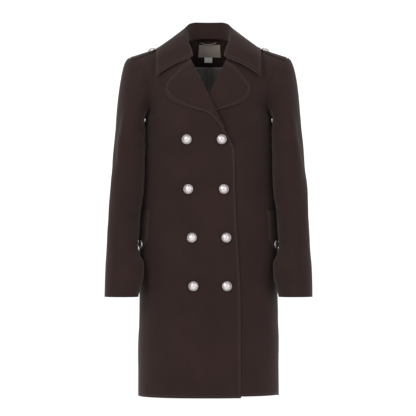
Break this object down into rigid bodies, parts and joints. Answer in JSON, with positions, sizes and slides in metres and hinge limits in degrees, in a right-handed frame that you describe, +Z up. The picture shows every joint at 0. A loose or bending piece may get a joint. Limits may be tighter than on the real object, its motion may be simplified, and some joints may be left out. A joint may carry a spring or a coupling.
{
  "type": "military coat",
  "caption": "Double-breasted military coat in dark brown wool, as worn: broad lapels, turned-down collar, shoulder straps, side pocket flaps, metal buttons.",
  "frame": {"origin": "in the hollow between the shoulders, on the coat's middle plane, level with the sleeve heads, 18 mm above the shoulder tips", "axes": "+Z up from the hem to the collar, -Y towards the front with the buttons, +X towards the wearer's left arm"},
  "size_m": [0.5358, 0.2654, 0.9751],
  "materials": {
    "wool": "matt melton wool, dark chocolate brown, short nap",
    "satin": "charcoal satin lining",
    "pewter": "antique silver coloured metal button",
    "woven": "plain woven label",
    "white_tape": "plain white tape"
  },
  "bodies": {
    "root": {"front_over": "wool", "front_under": "wool", "back_right": "wool", "back_left": "wool", "lapel_over": "wool", "lapel_under": "wool", "collar_fall": "wool", "collar_stand": "wool", "sleeve_top_right": "wool", "sleeve_under_right": "wool", "epaulette_right": "wool", "pocket_flap_right": "wool", "sleeve_top_left": "wool", "sleeve_under_left": "wool", "epaulette_left": "wool", "pocket_flap_left": "wool", "epaulette_button_right": "pewter", "flap_button_right": "pewter", "epaulette_button_left": "pewter", "flap_button_left": "pewter", "button_left_1": "pewter", "button_left_2": "pewter", "button_left_3": "pewter", "button_left_4": "pewter", "button_right_1": "pewter", "button_right_2": "pewter", "button_right_3": "pewter", "button_right_4": "pewter", "back_neck_facing": "wool", "back_lining": "satin", "neck_label": "woven", "size_tag": "white_tape", "hanger_loop": "wool"}
  },
  "joints": []
}
